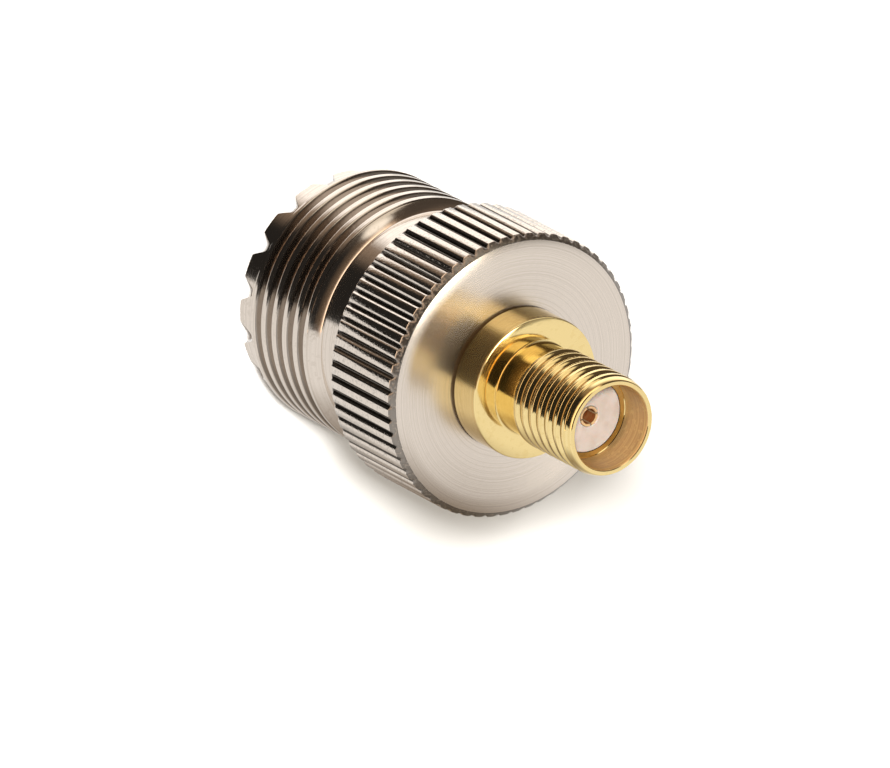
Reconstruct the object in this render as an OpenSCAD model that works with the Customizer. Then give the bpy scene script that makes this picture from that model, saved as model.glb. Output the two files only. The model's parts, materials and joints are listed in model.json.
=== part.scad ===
// Straight coaxial adapter with a UHF socket at the bottom and an SMA socket on top.
// Millimetres, +Z along the common axis, origin at the centre of the UHF rim's tooth tips.

/* [Shell] */
// Length of the shell, from the tooth tips to the front face of the collar
shell_len = 18.2; // [16.5:0.1:24]
// Diameter of the plain rim that carries the teeth
rim_d = 14.8; // [14:0.1:15.6]
// Length of the plain rim, teeth included
rim_len = 1.7; // [1.2:0.1:2.5]
// Width of the bevel on the outer edge of the rim
rim_bevel = 0.2; // [0.05:0.05:0.4]
// Outside diameter of the UHF thread
uhf_thread_d = 15.88; // [15.7:0.02:16.4]
// Length of the UHF thread
uhf_thread_len = 6.2; // [4:0.1:7]
// Pitch of the UHF thread
uhf_thread_pitch = 1.1; // [0.9:0.02:1.4]
// Diameter of the relief neck behind the thread
neck_d = 14.7; // [14:0.1:15.4]
// Bore of the shell, in which the insulator is seated
shell_bore_d = 12.2; // [11:0.1:12.6]

/* [Collar] */
// Diameter of the collar over its ridges
collar_d = 17.9; // [17:0.1:22]
// Length of the collar
collar_len = 6.45; // [5:0.05:8]
// Width of the bevel on the collar's front edge
collar_front_bevel = 0.35; // [0.1:0.05:0.6]
// Width of the bevel on the collar's rear edge
collar_back_bevel = 0.2; // [0.05:0.05:0.4]
// Number of straight knurl grooves
knurl_count = 60; // [40:4:72]
// Depth of a knurl groove
knurl_depth = 0.2; // [0.1:0.05:0.4]
// Width of a knurl groove at the top
knurl_w = 0.5; // [0.2:0.02:0.7]

/* [Castellated rim] */
// Number of notches in the rim
notch_count = 16; // [8:4:20]
// Depth of a notch
notch_depth = 1.2; // [0.5:0.05:1.3]
// Width of a notch at the tooth tips
notch_tip_w = 1.55; // [0.8:0.05:1.8]
// Width of a notch at its root
notch_root_w = 0.45; // [0.2:0.05:0.75]

/* [UHF insulator and contact] */
// Depth of the insulator's face below the tooth tips
uhf_recess = 3.2; // [2:0.1:5]
// Thickness of the insulator's web behind the contact
uhf_web = 1.2; // [0.6:0.1:2]
// Outside diameter of the contact
uhf_contact_d = 5.6; // [5:0.1:7]
// Height of the contact above the insulator's face
uhf_contact_proud = 0.5; // [0.1:0.1:1.5]
// Bore of the contact, for the plug's pin
uhf_socket_d = 4; // [3.8:0.05:4.4]
// Depth of the contact's bore
uhf_socket_depth = 9; // [6:0.1:9.2]
// Width of the bevel at the mouth of the contact's bore
uhf_socket_bevel = 0.3; // [0.1:0.05:0.4]
// Number of slots that make the contact springy
uhf_slot_count = 4; // [2:1:6]
// Width of a slot
uhf_slot_w = 0.4; // [0.2:0.05:0.5]
// Length of a slot
uhf_slot_len = 6; // [3:0.1:7]

/* [SMA body] */
// Height of the SMA body above the collar's face
sma_len = 10.2; // [9:0.1:14]
// Diameter of the spigot that is pressed into the collar
spigot_d = 7; // [6:0.1:8]
// Length of the spigot
spigot_len = 3.4; // [2.5:0.1:4]
// Diameter of the flange
flange_d = 8.9; // [8.2:0.1:11]
// Thickness of the flange
flange_len = 2.3; // [1.5:0.1:3]
// Width of the bevel on the flange's rear edge
flange_back_bevel = 0.2; // [0.05:0.05:0.4]
// Width of the bevel on the flange's front edge
flange_front_bevel = 0.1; // [0.05:0.05:0.3]
// Diameter of the plain neck above the flange
sma_neck_d = 5.8; // [5.2:0.1:6]
// Length of the plain neck
sma_neck_len = 1.9; // [1:0.1:3]
// Outside diameter of the SMA thread
sma_thread_d = 6.3; // [6.1:0.05:6.8]
// Pitch of the SMA thread
sma_thread_pitch = 0.83; // [0.6:0.01:1]
// Outside diameter of the SMA body's front edge
sma_rim_d = 5.94; // [5.8:0.02:6.05]
// Length of the taper from the thread to the front edge
sma_lead_len = 0.45; // [0.2:0.05:0.8]
// Diameter of the mouth at the front edge
sma_mouth_d = 5.38; // [5:0.02:5.6]
// Depth of the taper inside the mouth
sma_mouth_len = 0.2; // [0.1:0.05:0.9]
// Bore of the mouth, for the plug's collar
sma_bore_d = 5.2; // [4.6:0.05:5.3]
// Depth of the mouth, down to the insulator's face
sma_recess = 2.3; // [1.6:0.05:2.8]

/* [SMA insulator and contact] */
// Bore that holds the SMA insulator
sma_insulator_bore_d = 4.54; // [3.6:0.02:4.6]
// Diameter of the SMA contact
sma_contact_d = 1.27; // [1.2:0.01:1.6]
// Bore of the SMA contact, for the plug's pin
sma_socket_d = 0.96; // [0.92:0.01:1.1]
// Depth of the SMA contact's bore
sma_socket_depth = 3; // [2:0.1:5]
// Number of slots in the SMA contact
sma_slot_count = 4; // [2:1:4]
// Width of a slot
sma_slot_w = 0.14; // [0.08:0.02:0.18]
// Length of a slot
sma_slot_len = 1.8; // [1:0.1:2]
// Length of the SMA contact's tail inside the UHF contact
tail_len = 1; // [0.5:0.1:1.1]
// Depth of the hole for the tail past the tail's end
tail_room = 0.1; // [0.05:0.05:0.2]

/* [Fits] */
// Gap on each side between pieces that are pushed together
fit_gap = 0.02; // [0.01:0.01:0.05]

/* [Hidden] */
$fn = 128;

// How far a cutter runs past the solid that it cuts
cut_over = 1;

// Share of a groove's step by which the knurl is turned from the notches
knurl_turn = 0.75;

// Shares of a thread's pitch that one flank and the flat crest take
flank_share = 0.25;
crest_share = 0.27;

// Heights along the shell
thread_top_z = rim_len + uhf_thread_len;
neck_bottom_z = thread_top_z + (uhf_thread_d - neck_d) / 2;
collar_bottom_z = shell_len - collar_len;
seat_z = shell_len - spigot_len;

// Heights along the SMA body
flange_top_z = shell_len + flange_len;
sma_thread_z = flange_top_z + sma_neck_len;
sma_top_z = shell_len + sma_len;
sma_thread_top_z = sma_top_z - sma_lead_len;
sma_face_z = sma_top_z - sma_recess;

// Heights along the UHF contact
uhf_contact_bottom_z = uhf_recess - uhf_contact_proud;
uhf_contact_top_z = seat_z - uhf_web;

// Side of a thread drawn as rings of its pitch, from its first root to its last crest
function thread_side(root_r, crest_r, bottom_z, top_z, pitch) =
    let (flank = flank_share * pitch, crest = crest_share * pitch)
    let (last = floor((top_z - bottom_z - flank) / pitch))
    concat(
        [
            for (i = [0 : last - 1], corner = [
                [root_r, 0],
                [crest_r, flank],
                [crest_r, flank + crest],
                [root_r, 2 * flank + crest]
            ])
            [corner[0], bottom_z + i * pitch + corner[1]]
        ],
        [
            [root_r, bottom_z + last * pitch],
            [crest_r, bottom_z + last * pitch + flank],
            [crest_r, top_z]
        ]
    );

// A solid of revolution about the axis, from points of radius and height
module turned(points) {
    rotate_extrude() polygon(points);
}

// Straight slots across a tube's wall, from below z = 0 up to the given length
module slots(count, width, length, reach) {
    for (i = [0 : count - 1])
        rotate([0, 0, 360 / count * (i + 0.5)])
            translate([0, -width / 2, -cut_over])
                cube([reach, width, length + cut_over]);
}

// Outside of the shell, before the knurl and the notches
module shell_blank() {
    turned(concat(
        [
            [0, 0],
            [rim_d / 2 - rim_bevel, 0],
            [rim_d / 2, rim_bevel]
        ],
        thread_side(rim_d / 2, uhf_thread_d / 2, rim_len, thread_top_z, uhf_thread_pitch),
        [
            [neck_d / 2, neck_bottom_z],
            [neck_d / 2, collar_bottom_z],
            [collar_d / 2 - collar_back_bevel, collar_bottom_z],
            [collar_d / 2, collar_bottom_z + collar_back_bevel],
            [collar_d / 2, shell_len - collar_front_bevel],
            [collar_d / 2 - collar_front_bevel, shell_len],
            [0, shell_len]
        ]
    ));
}

// Vee grooves along the collar, between flat-topped ridges
module knurl_grooves() {
    flare = (knurl_depth + cut_over) / knurl_depth;
    for (i = [0 : knurl_count - 1])
        rotate([0, 0, 360 / knurl_count * (i + knurl_turn)])
            translate([0, 0, collar_bottom_z - (collar_d - neck_d) / 4])
                linear_extrude(collar_len + (collar_d - neck_d) / 4 + cut_over)
                    polygon([
                        [collar_d / 2 - knurl_depth, 0],
                        [collar_d / 2 + cut_over, knurl_w / 2 * flare],
                        [collar_d / 2 + cut_over, -knurl_w / 2 * flare]
                    ]);
}

// Notches across the rim, narrower at the root than at the tooth tips
module rim_notches() {
    slope = (notch_tip_w - notch_root_w) / 2 / notch_depth;
    mouth_w = notch_tip_w + 2 * slope * cut_over;
    for (i = [0 : notch_count - 1])
        rotate([0, 0, 360 / notch_count * i])
            translate([shell_bore_d / 4, 0, 0])
                rotate([90, 0, 90])
                    linear_extrude(uhf_thread_d / 2)
                        polygon([
                            [-mouth_w / 2, -cut_over],
                            [mouth_w / 2, -cut_over],
                            [notch_root_w / 2, notch_depth],
                            [-notch_root_w / 2, notch_depth]
                        ]);
}

// Nickel-plated shell
module uhf_shell() {
    color([0.80, 0.77, 0.74])
    difference() {
        shell_blank();
        translate([0, 0, -cut_over])
            cylinder(h = seat_z + cut_over, d = shell_bore_d);
        cylinder(h = shell_len + cut_over, d = spigot_d);
        knurl_grooves();
        rim_notches();
    }
}

// PTFE bush in the shell's bore
module uhf_insulator() {
    color([0.93, 0.92, 0.90])
    difference() {
        translate([0, 0, uhf_recess])
            cylinder(h = seat_z - uhf_recess, d = shell_bore_d - 2 * fit_gap);
        cylinder(h = uhf_contact_top_z, d = uhf_contact_d + 2 * fit_gap);
        cylinder(h = shell_len, d = sma_contact_d + 2 * fit_gap);
    }
}

// Slotted socket for the UHF plug's pin
module uhf_contact() {
    radius = uhf_socket_d / 2;
    color([0.86, 0.72, 0.42])
    translate([0, 0, uhf_contact_bottom_z])
    difference() {
        cylinder(h = uhf_contact_top_z - uhf_contact_bottom_z, d = uhf_contact_d);
        turned([
            [0, -cut_over],
            [radius + uhf_socket_bevel + cut_over, -cut_over],
            [radius, uhf_socket_bevel],
            [radius, uhf_socket_depth],
            [0, uhf_socket_depth]
        ]);
        slots(uhf_slot_count, uhf_slot_w, uhf_slot_len, uhf_contact_d);
        translate([0, 0, uhf_contact_top_z - uhf_contact_bottom_z - tail_len - tail_room])
            cylinder(h = tail_len + tail_room + cut_over, d = sma_contact_d + 2 * fit_gap);
    }
}

// Gold-plated SMA body
module sma_body() {
    spigot_r = spigot_d / 2 - fit_gap;
    color([0.90, 0.75, 0.38])
    difference() {
        turned(concat(
            [
                [0, seat_z],
                [spigot_r, seat_z],
                [spigot_r, shell_len],
                [flange_d / 2 - flange_back_bevel, shell_len],
                [flange_d / 2, shell_len + flange_back_bevel],
                [flange_d / 2, flange_top_z - flange_front_bevel],
                [flange_d / 2 - flange_front_bevel, flange_top_z],
                [sma_neck_d / 2, flange_top_z]
            ],
            thread_side(sma_neck_d / 2, sma_thread_d / 2, sma_thread_z, sma_thread_top_z, sma_thread_pitch),
            [
                [sma_rim_d / 2, sma_top_z],
                [0, sma_top_z]
            ]
        ));
        cylinder(h = sma_top_z, d = sma_insulator_bore_d);
        turned([
            [0, sma_face_z],
            [sma_bore_d / 2, sma_face_z],
            [sma_bore_d / 2, sma_top_z - sma_mouth_len],
            [sma_mouth_d / 2, sma_top_z],
            [sma_mouth_d / 2, sma_top_z + cut_over],
            [0, sma_top_z + cut_over]
        ]);
    }
}

// PTFE rod in the SMA body
module sma_insulator() {
    color([0.93, 0.92, 0.90])
    difference() {
        translate([0, 0, seat_z])
            cylinder(h = sma_face_z - seat_z, d = sma_insulator_bore_d - 2 * fit_gap);
        cylinder(h = sma_top_z, d = sma_contact_d + 2 * fit_gap);
    }
}

// Gold-plated SMA centre socket, with the tail that joins it to the UHF contact
module sma_contact() {
    bottom_z = uhf_contact_top_z - tail_len;
    color([0.88, 0.72, 0.36])
    difference() {
        translate([0, 0, bottom_z])
            cylinder(h = sma_face_z - bottom_z, d = sma_contact_d);
        translate([0, 0, sma_face_z - sma_socket_depth])
            cylinder(h = sma_socket_depth + cut_over, d = sma_socket_d);
        translate([0, 0, sma_face_z])
            mirror([0, 0, 1])
                slots(sma_slot_count, sma_slot_w, sma_slot_len, sma_contact_d);
    }
}

uhf_shell();
uhf_insulator();
uhf_contact();
sma_body();
sma_insulator();
sma_contact();
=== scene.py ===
"""Looks of a straight coaxial adapter: a nickel UHF socket with a knurled collar, and a gold SMA socket.

Every piece is a surface worked out with numpy in the adapter's own frame, with +Z along the common axis.
Sizes are in millimetres until a mesh is written, and meshes are in metres.
"""

import json
import logging
import math
from dataclasses import dataclass
from enum import Enum, IntEnum
from typing import Any, Callable

import bmesh
import bpy
import numpy as np
from mathutils import Matrix, Vector


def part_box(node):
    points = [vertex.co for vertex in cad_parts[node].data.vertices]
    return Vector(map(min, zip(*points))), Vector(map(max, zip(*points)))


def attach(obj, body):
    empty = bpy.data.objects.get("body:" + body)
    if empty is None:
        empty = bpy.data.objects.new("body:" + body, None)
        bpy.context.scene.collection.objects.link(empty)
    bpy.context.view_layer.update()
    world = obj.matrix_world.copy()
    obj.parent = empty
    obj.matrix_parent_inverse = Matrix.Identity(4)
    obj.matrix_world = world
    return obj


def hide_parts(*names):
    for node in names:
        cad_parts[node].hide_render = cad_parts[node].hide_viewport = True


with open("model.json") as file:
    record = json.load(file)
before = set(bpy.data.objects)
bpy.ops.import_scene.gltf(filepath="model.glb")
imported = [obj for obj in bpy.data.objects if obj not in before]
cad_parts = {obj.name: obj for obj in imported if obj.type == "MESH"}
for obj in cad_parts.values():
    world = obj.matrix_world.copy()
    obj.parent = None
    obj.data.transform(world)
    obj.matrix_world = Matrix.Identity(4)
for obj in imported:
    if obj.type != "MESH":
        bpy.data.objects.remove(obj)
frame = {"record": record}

LOG = logging.getLogger("adapter")
MM = 0.001
BODY = "root"
WELD_DISTANCE = 2e-7
SHARP_ANGLE = math.radians(34.0)
QUARTER_TURN = 0.25
WHITE = (1.0, 1.0, 1.0)

Colour = tuple[float, float, float]
Direction = tuple[float, float, float]
Socket = bpy.types.NodeSocket
Array = np.ndarray
Rows = list[tuple[float, float]]
Shaper = Callable[[Array, Array, Array], tuple[Array, Array]]


class Slot(str, Enum):
    """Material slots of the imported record."""

    NICKEL = "nickel_plate"
    GOLD = "gold_plate"
    CONTACT = "contact_gold"
    PTFE = "ptfe"


class Grain(Enum):
    """How the lathe's marks lie on a plated surface."""

    FACE = "rings on a flat face"
    BARREL = "rings round a barrel"


class ShellZone(IntEnum):
    """Finishes of the shell, in the order of its material slots."""

    BARREL = 0
    RIDGE = 1
    BEVEL = 2
    FACE = 3
    # Zone of the painted shade above the thread's crests and in its roots.
    SHADED_ROOT = 4
    # Zone of the painted shade in the middle of each knurl groove.
    SHADED_GROOVE = 5


class BodyZone(IntEnum):
    """Finishes of the SMA body, in the order of its material slots."""

    TURNED = 0
    MOUTH = 1
    # Zone of the painted shadow on the flange's back bevel.
    SHADED_SEAM = 2
    # Zone of the painted shade in the thread's roots.
    SHADED_ROOT = 3


class ContactZone(IntEnum):
    """Finishes of a contact, in the order of its material slots."""

    OUTSIDE = 0
    # Zone of the painted bounce light inside the socket.
    BOUNCE_LIT_BORE = 1


class NodeGraph:
    """A short way to write the nodes of a material or a world."""

    # Sockets of Blender's Mix node that carry colours.
    MIX_FACTOR = 0
    MIX_FIRST = 6
    MIX_SECOND = 7
    MIX_RESULT = 2

    def __init__(self, tree: bpy.types.NodeTree) -> None:
        """Starts from an empty tree."""
        tree.nodes.clear()
        self.tree = tree

    def feed(self, socket: Socket, value: Any) -> None:
        """Links a socket to another one, or sets its constant.

        Args:
            socket: Input to feed.
            value: Output socket, number, vector or colour.
        """
        if isinstance(value, Socket):
            self.tree.links.new(value, socket)
        else:
            socket.default_value = value

    def add(self, kind: str, inputs: dict[str | int, Any], **settings: Any) -> bpy.types.Node:
        """Makes a node.

        Args:
            kind: Blender's type name of the node.
            inputs: Values or sockets by the name or number of the input.
            settings: Properties of the node.

        Returns:
            The new node.
        """
        node = self.tree.nodes.new(kind)
        for key, value in settings.items():
            setattr(node, key, value)
        for key, value in inputs.items():
            self.feed(node.inputs[key], value)
        return node

    def math(self, operation: str, first: Any, second: Any) -> Socket:
        """Gives one arithmetic step on two numbers."""
        return self.add("ShaderNodeMath", {0: first, 1: second}, operation=operation).outputs[0]

    def product(self, first: Any, second: Any) -> Socket:
        """Multiplies two numbers."""
        return self.math("MULTIPLY", first, second)

    def vector(self, operation: str, first: Any, second: Any = (0.0, 0.0, 0.0)) -> bpy.types.Node:
        """Gives one step of vector arithmetic."""
        return self.add("ShaderNodeVectorMath", {0: first, 1: second}, operation=operation)

    def dot(self, first: Any, second: Any) -> Socket:
        """Gives the dot product of two vectors."""
        return self.vector("DOT_PRODUCT", first, second).outputs["Value"]

    def length(self, vector: Any) -> Socket:
        """Gives the length of a vector."""
        return self.vector("LENGTH", vector).outputs["Value"]

    def flat(self, vector: Any) -> Socket:
        """Takes the height out of a vector."""
        return self.vector("MULTIPLY", vector, (1.0, 1.0, 0.0)).outputs[0]

    def height(self, vector: Any) -> Socket:
        """Gives the height of a vector."""
        return self.add("ShaderNodeSeparateXYZ", {0: vector}).outputs["Z"]

    def ramp(self, value: Any, start: float, end: float, low: float = 0.0, high: float = 1.0) -> Socket:
        """Maps a number smoothly from one range to another, and clamps it.

        Args:
            value: Number or socket to map.
            start: Input that gives low.
            end: Input that gives high.
            low: First output.
            high: Last output.

        Returns:
            Socket of the mapped number.
        """
        inputs = {0: value, 1: start, 2: end, 3: low, 4: high}
        return self.add("ShaderNodeMapRange", inputs, interpolation_type="SMOOTHSTEP").outputs[0]

    def noise(self, vector: Any, scale: float, detail: float) -> Socket:
        """Gives three-dimensional noise from 0 to 1."""
        inputs = {"Vector": vector, "Scale": scale, "Detail": detail}
        return self.add("ShaderNodeTexNoise", inputs).outputs[0]

    def line_noise(self, along: Any, scale: float, detail: float = 3.0) -> Socket:
        """Gives noise that varies along one number only."""
        inputs = {"W": along, "Scale": scale, "Detail": detail}
        return self.add("ShaderNodeTexNoise", inputs, noise_dimensions="1D").outputs[0]

    def blend(self, factor: Any, first: Any, second: Any) -> Socket:
        """Mixes two colours."""
        inputs = {self.MIX_FACTOR: factor, self.MIX_FIRST: first, self.MIX_SECOND: second}
        return self.add("ShaderNodeMix", inputs, data_type="RGBA").outputs[self.MIX_RESULT]

    def bump(self, height: Any, depth_mm: float, below: Any = None) -> Socket:
        """Turns a height from 0 to 1 into a normal.

        Args:
            height: Socket of the height.
            depth_mm: Depth in millimetres that a height of 1 stands for.
            below: Normal of the layer under this one.

        Returns:
            Socket of the bumped normal.
        """
        node = self.add("ShaderNodeBump", {"Height": height, "Strength": 1.0, "Distance": depth_mm * MM})
        if below is not None:
            self.feed(node.inputs["Normal"], below)
        return node.outputs[0]

    def millimetres(self) -> Socket:
        """Gives the place on the object in millimetres."""
        place = self.add("ShaderNodeTexCoord", {}).outputs["Object"]
        return self.vector("MULTIPLY", place, (1.0 / MM, 1.0 / MM, 1.0 / MM)).outputs[0]

    def show(self, shader: bpy.types.Node) -> None:
        """Puts a shader on the surface."""
        self.add("ShaderNodeOutputMaterial", {"Surface": shader.outputs[0]})


def opaque(colour: Colour) -> tuple[float, float, float, float]:
    """Adds a full alpha to a colour."""
    return (*colour, 1.0)


def new_material(name: str) -> tuple[bpy.types.Material, NodeGraph]:
    """Makes a material with no node yet.

    Args:
        name: Name of the material.

    Returns:
        The material and the graph of its nodes.
    """
    made = bpy.data.materials.new(name)
    made.use_nodes = True
    return made, NodeGraph(made.node_tree)


def new_object(name: str, data: bpy.types.ID) -> bpy.types.Object:
    """Makes an object at the origin and puts it into the scene.

    Args:
        name: Name of the object.
        data: Its mesh, light or camera.

    Returns:
        The new object.
    """
    made = bpy.data.objects.new(name, data)
    bpy.context.scene.collection.objects.link(made)
    return made


@dataclass(frozen=True)
class PlatedFinish:
    """Bright plating on turned brass, with the marks of the lathe under it.

    Attributes:
        colour: Reflection colour of clean plating.
        stain: Reflection colour in marks and pits.
        roughness: Roughness of clean plating, and of marks and pits.
        marks_per_mm: Fineness of the marks.
        mark_depth: Depth of the marks in millimetres.
        mark_tint: How far the marks are stained.
        pits_per_mm: Fineness of the pits and nicks.
        pit_depth: Depth of the pits in millimetres.
        pit_tint: How far the pits are stained.
        anisotropy: How far a highlight spreads across the marks.
        metallic: Share of bright metal; the rest is a matt film.
    """

    name: str
    colour: Colour
    stain: Colour
    roughness: tuple[float, float]
    grain: Grain = Grain.BARREL
    marks_per_mm: float = 8.0
    mark_depth: float = 0.001
    mark_tint: float = 0.1
    pits_per_mm: float = 4.0
    pit_depth: float = 0.001
    pit_tint: float = 0.2
    anisotropy: float = 0.0
    metallic: float = 1.0

    # Wander of the marks in millimetres and its fineness, and the noise levels of pits and marks.
    WANDER = 0.06
    WANDER_PER_MM = 0.6
    PIT_DETAIL = 4.0
    PIT_LEVELS = (0.34, 0.50)
    MARK_LEVELS = (0.58, 0.36)

    def marks(self, graph: NodeGraph, place: Socket) -> Socket:
        """Gives the height of the lathe's marks.

        Noise runs along the distance from the axis on a face, and along the axis on a barrel. It wanders a
        little from place to place, so that a mark doesn't go all the way round.

        Args:
            graph: Nodes of the material.
            place: Place on the object in millimetres.

        Returns:
            Socket of a height from 0 to 1.
        """
        along = graph.length(graph.flat(place)) if self.grain is Grain.FACE else graph.height(place)
        wander = graph.product(graph.noise(place, self.WANDER_PER_MM, 1.0), self.WANDER)
        return graph.line_noise(graph.math("ADD", along, wander), self.marks_per_mm)

    def material(self) -> bpy.types.Material:
        """Makes the material.

        Returns:
            Material with colour, gloss and relief from noise on Object coordinates.
        """
        made, graph = new_material(self.name)
        place = graph.millimetres()
        marks = self.marks(graph, place)
        pits = graph.ramp(graph.noise(place, self.pits_per_mm, self.PIT_DETAIL), *self.PIT_LEVELS)
        scored = graph.ramp(marks, *self.MARK_LEVELS, 0.0, self.mark_tint)
        hollow = graph.ramp(pits, 1.0, 0.0, 0.0, self.pit_tint)
        wear = graph.math("MAXIMUM", scored, hollow)
        normal = graph.bump(marks, self.mark_depth)
        normal = graph.bump(pits, self.pit_depth, normal)
        shader = graph.add("ShaderNodeBsdfPrincipled", {
            "Base Color": graph.blend(wear, opaque(self.colour), opaque(self.stain)),
            "Metallic": self.metallic,
            "Roughness": graph.ramp(wear, 0.0, 1.0, *self.roughness),
            "Normal": normal,
        })
        if self.anisotropy:
            shader.inputs["Anisotropic"].default_value = self.anisotropy
            shader.inputs["Anisotropic Rotation"].default_value = QUARTER_TURN
            round_axis = graph.add("ShaderNodeTangent", {}, direction_type="RADIAL", axis="Z")
            graph.feed(shader.inputs["Tangent"], round_axis.outputs[0])
        graph.show(shader)
        return made


@dataclass(frozen=True)
class PtfeFinish:
    """Waxy white PTFE with faint turning rings and a little light inside.

    Attributes:
        colour: Colour of clean PTFE.
        shade: Colour of its faint clouds.
        ring_depth: Depth of the turning rings in millimetres.
        cloud_levels: Noise at which a cloud begins, and at which it is full.
        inner_light: Share of the light that goes inside.
        inner_reach: How far that light goes, in millimetres.
    """

    name: str
    colour: Colour
    shade: Colour
    roughness: float
    ring_depth: float
    rings_per_mm: float = 9.0
    clouds_per_mm: float = 1.1
    cloud_levels: tuple[float, float] = (0.35, 0.7)
    inner_light: float = 0.25
    inner_reach: float = 0.4

    CLOUD_DETAIL = 4.0

    def material(self) -> bpy.types.Material:
        """Makes the material.

        Returns:
            Material with subsurface light, clouds and turning rings.
        """
        made, graph = new_material(self.name)
        place = graph.millimetres()
        cloud = graph.noise(place, self.clouds_per_mm, self.CLOUD_DETAIL)
        cloud = graph.ramp(cloud, *self.cloud_levels)
        rings = graph.line_noise(graph.length(graph.flat(place)), self.rings_per_mm)
        graph.show(graph.add("ShaderNodeBsdfPrincipled", {
            "Base Color": graph.blend(cloud, opaque(self.colour), opaque(self.shade)),
            "Roughness": self.roughness,
            "Subsurface Weight": self.inner_light,
            "Subsurface Scale": self.inner_reach * MM,
            "Normal": graph.bump(rings, self.ring_depth),
        }))
        return made


# Reflection colours of clean, stained and worn plating, and darker colours that paint shade and bounce
# light.
NICKEL = (0.78, 0.705, 0.63)
NICKEL_STAIN = (0.55, 0.48, 0.41)
NICKEL_DARK = (0.28, 0.255, 0.23)
# Darkened nickel for the painted shade on the thread's upper flanks and roots.
NICKEL_PAINTED_SHADE = (0.36, 0.315, 0.275)
# Near-black nickel for the painted shade in the knurl's grooves.
NICKEL_SHADE_BLACK = (0.11, 0.095, 0.08)
GOLD = (0.965, 0.775, 0.38)
GOLD_STAIN = (0.80, 0.56, 0.20)
GOLD_DARK = (0.20, 0.14, 0.06)
# Darkened gold for the painted shade in the SMA thread's roots.
GOLD_PAINTED_SHADE = (0.42, 0.27, 0.09)
GOLD_DULL = (0.33, 0.19, 0.078)
GOLD_WORN = (0.50, 0.32, 0.18)
# Dark copper-brown tint that stands in for warm light bouncing inside the gold socket: painted bounce light.
GOLD_BOUNCE_TINT = (0.13, 0.03, 0.006)

NICKEL_BARREL = PlatedFinish(
    "nickel_barrel", NICKEL, NICKEL_STAIN, (0.11, 0.26),
    marks_per_mm=7.0, mark_depth=0.002, mark_tint=0.35, pits_per_mm=3.0, pit_depth=0.0005, pit_tint=0.3,
)
NICKEL_RIDGE = PlatedFinish(
    "nickel_ridge", NICKEL, NICKEL_DARK, (0.10, 0.28),
    marks_per_mm=5.0, pits_per_mm=7.0, pit_depth=0.003, pit_tint=0.35,
)
NICKEL_BEVEL = PlatedFinish(
    "nickel_bevel", NICKEL_DARK, NICKEL_STAIN, (0.30, 0.40),
    marks_per_mm=5.0, pits_per_mm=6.0, pit_depth=0.012, pit_tint=0.6,
)
# Painted shade on the nickel thread's flank above each crest and in its roots.
NICKEL_ROOT_SHADE = PlatedFinish(
    "nickel_root", NICKEL_PAINTED_SHADE, NICKEL_DARK, (0.10, 0.20),
    marks_per_mm=7.0, pits_per_mm=3.0, pit_tint=0.15,
)
# Painted shade in the middle of each knurl groove.
NICKEL_GROOVE_SHADE = PlatedFinish(
    "nickel_groove", NICKEL_SHADE_BLACK, NICKEL_DARK, (0.25, 0.40),
    marks_per_mm=7.0, pits_per_mm=6.0, pit_depth=0.002, pit_tint=0.25,
)
NICKEL_FACE = PlatedFinish(
    "nickel_face", NICKEL, NICKEL_STAIN, (0.23, 0.36), Grain.FACE,
    marks_per_mm=11.0, mark_depth=0.0012, mark_tint=0.25, pits_per_mm=3.0, pit_depth=0.0004, pit_tint=0.1,
    anisotropy=0.7,
)
GOLD_TURNED = PlatedFinish(
    "gold_turned", GOLD, GOLD_STAIN, (0.09, 0.24),
    marks_per_mm=6.0, mark_depth=0.002, mark_tint=0.3, pits_per_mm=2.6, pit_depth=0.0004, pit_tint=0.3,
)
# Painted shade in the roots of the gold thread.
GOLD_ROOT_SHADE = PlatedFinish(
    "gold_root", GOLD_PAINTED_SHADE, GOLD_DARK, (0.12, 0.24),
    marks_per_mm=7.0, mark_tint=0.2, pits_per_mm=3.0, pit_tint=0.3,
)
# Painted shadow in the gap along the flange's back bevel, where it meets the collar's face.
GOLD_SEAM_SHADE = PlatedFinish("gold_seam", GOLD_DARK, GOLD_DARK, (0.40, 0.50), mark_tint=0.3)
GOLD_MOUTH = PlatedFinish(
    "gold_mouth", GOLD_DULL, GOLD_STAIN, (0.30, 0.40), mark_tint=0.2, pit_depth=0.0005, metallic=0.6,
)
GOLD_CONTACT = PlatedFinish(
    "gold_contact", GOLD_WORN, GOLD_STAIN, (0.30, 0.40), mark_tint=0.3, metallic=0.6,
)
# Painted bounce light: a mostly diffuse copper-brown finish for the inside of a socket.
GOLD_BORE_BOUNCE = PlatedFinish("gold_bore", GOLD_BOUNCE_TINT, GOLD_DARK, (0.45, 0.55), mark_tint=0.3, metallic=0.2)
WHITE_PTFE = PtfeFinish("white_ptfe", (0.30, 0.25, 0.215), (0.26, 0.21, 0.175), 0.38, 0.003)


def turned(radius: Array, turn: Array, height: Array) -> Array:
    """Gives points from radius, angle and height: x is r times cos(angle), y is r times sin(angle)."""
    return np.stack([radius * np.cos(turn), radius * np.sin(turn), height], axis=-1)


def revolve(profile: Array, angles: Array, shaper: Shaper | None = None) -> Array:
    """Turns a profile about the axis: each of its points goes round the axis at its own radius and height.

    Args:
        profile: Radius and height of each row, in millimetres.
        angles: Angle of each column, in radians.
        shaper: Changes the radius and height of every point, given radius, height and angle.

    Returns:
        Points, rows by columns by three, in millimetres.
    """
    radius, turn = np.meshgrid(profile[:, 0], angles, indexing="ij")
    height = np.repeat(profile[:, 1:2], len(angles), axis=1)
    if shaper is not None:
        radius, height = shaper(radius, height, turn)
    return turned(radius, turn, height)


def upright(radius: float, *heights: float) -> Rows:
    """Gives rows of a profile at one radius and several heights."""
    return [(radius, height) for height in heights]


def level(height: float, *radii: float) -> Rows:
    """Gives rows of a profile at one height and several radii."""
    return [(radius, height) for radius in radii]


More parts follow.
